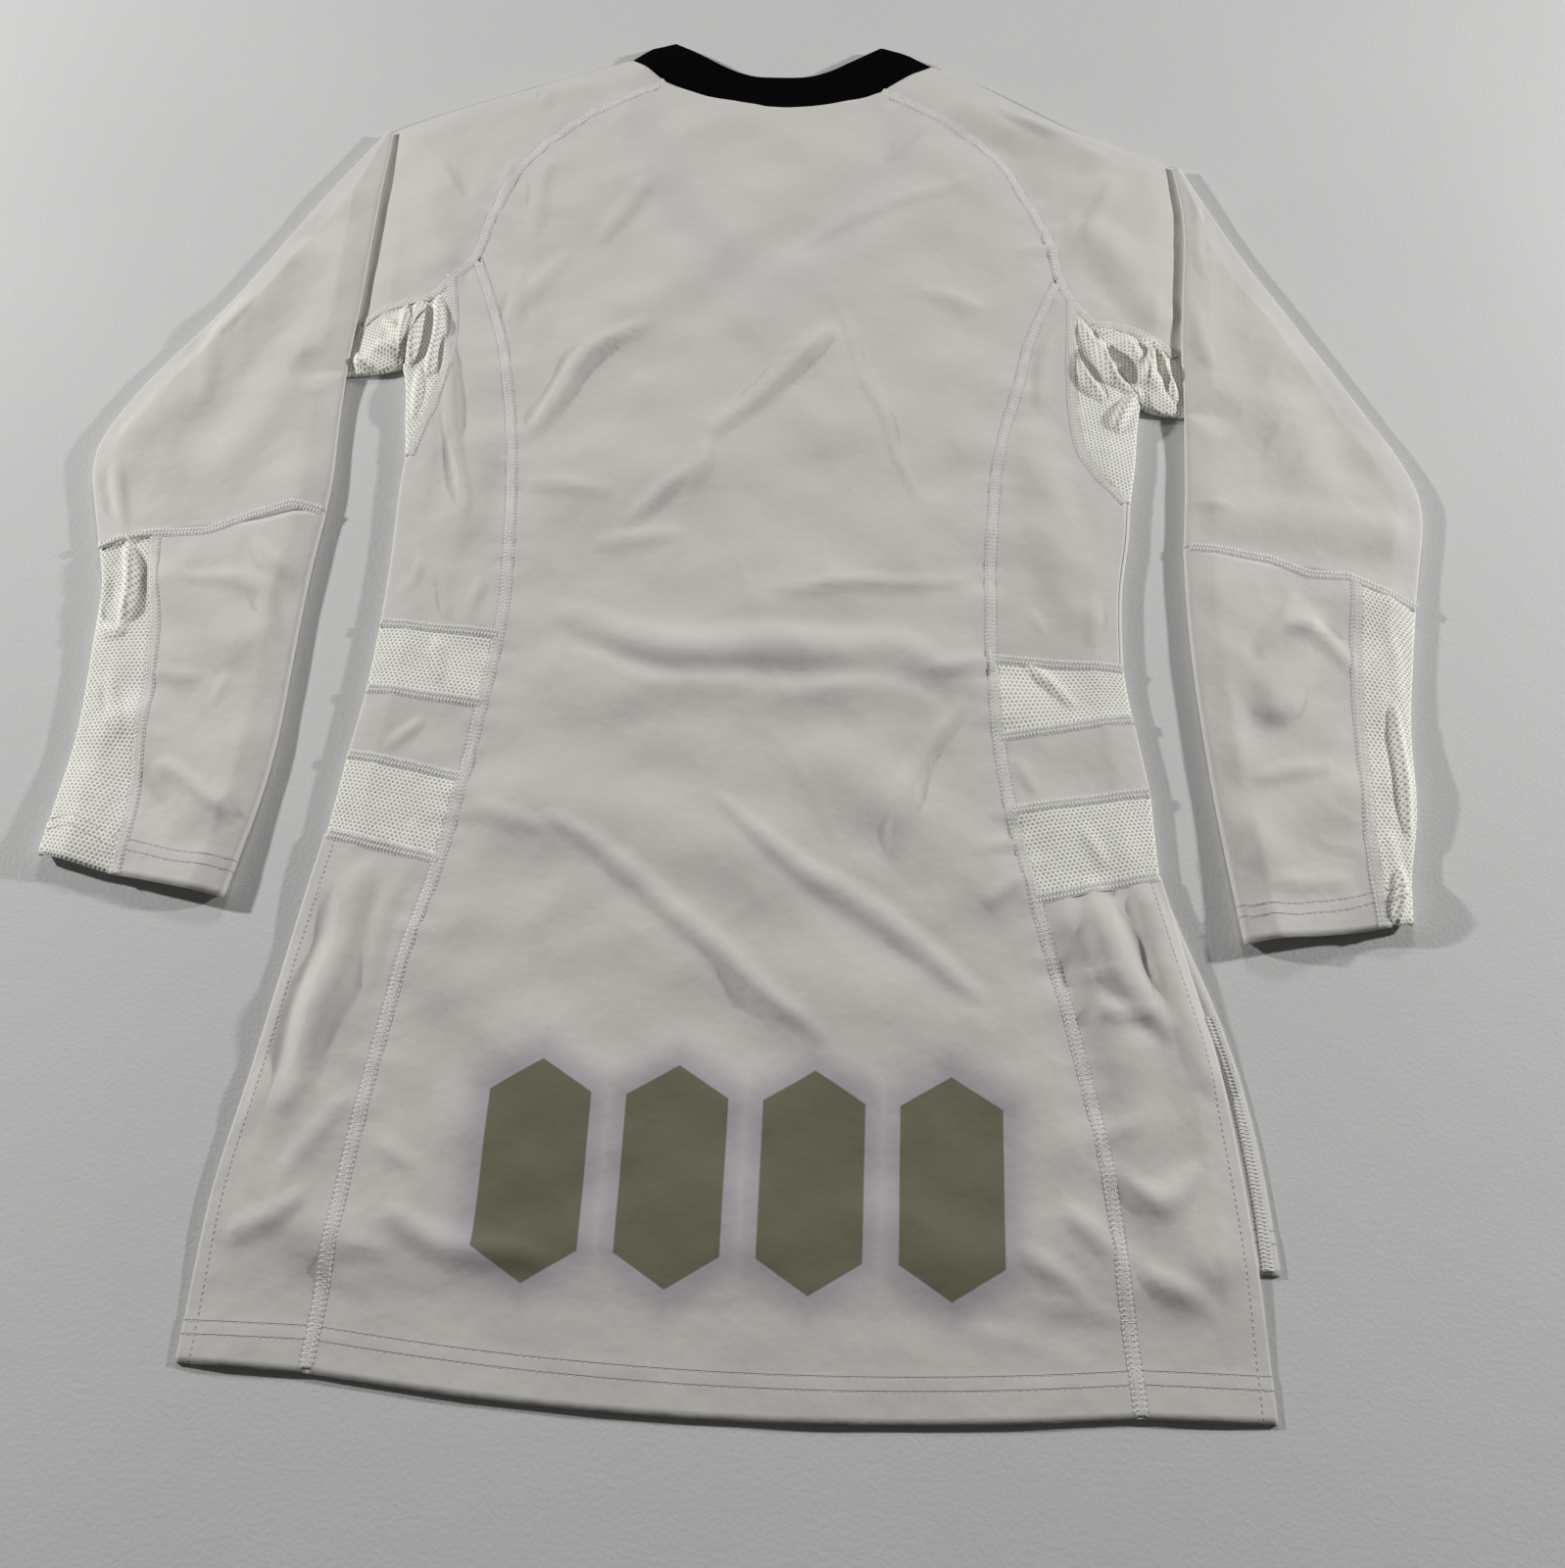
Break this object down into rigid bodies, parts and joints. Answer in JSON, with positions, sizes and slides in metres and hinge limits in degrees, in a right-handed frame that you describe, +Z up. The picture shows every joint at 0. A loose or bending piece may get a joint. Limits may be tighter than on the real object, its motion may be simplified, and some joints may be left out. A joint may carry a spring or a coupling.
{
  "type": "taekwondo uniform jacket, lying flat",
  "caption": "Long-sleeved martial arts jacket with a black V collar and mesh side panels, lying flat with its back up.",
  "frame": {"origin": "middle of the whole outline, on the surface that the jacket lies on", "axes": "+X to the wearer's right sleeve, +Y up the jacket to the collar, +Z up from the surface"},
  "size_m": [0.8412, 0.9426, 0.0094],
  "materials": {
    "cloth": "pale warm grey-white polyester knit with a fine dull surface",
    "mesh": "off-white knitted sports mesh with rows of small round holes",
    "collar": "black ribbed band, dull"
  },
  "bodies": {
    "root": {"back_panel": "cloth", "front_panel": "cloth", "side_back_left": "cloth", "side_front_left": "cloth", "band_plain_left": "cloth", "skirt_back_left": "cloth", "skirt_front_left": "cloth", "upper_sleeve_left": "cloth", "forearm_left": "cloth", "side_back_right": "cloth", "side_front_right": "cloth", "band_plain_right": "cloth", "skirt_back_right": "cloth", "skirt_front_right": "cloth", "upper_sleeve_right": "cloth", "forearm_right": "cloth", "band_mesh_upper_left": "mesh", "band_mesh_lower_left": "mesh", "body_gusset_left": "mesh", "sleeve_gusset_left": "mesh", "forearm_mesh_left": "mesh", "band_mesh_upper_right": "mesh", "band_mesh_lower_right": "mesh", "body_gusset_right": "mesh", "sleeve_gusset_right": "mesh", "forearm_mesh_right": "mesh", "collar_band": "collar"}
  },
  "joints": []
}
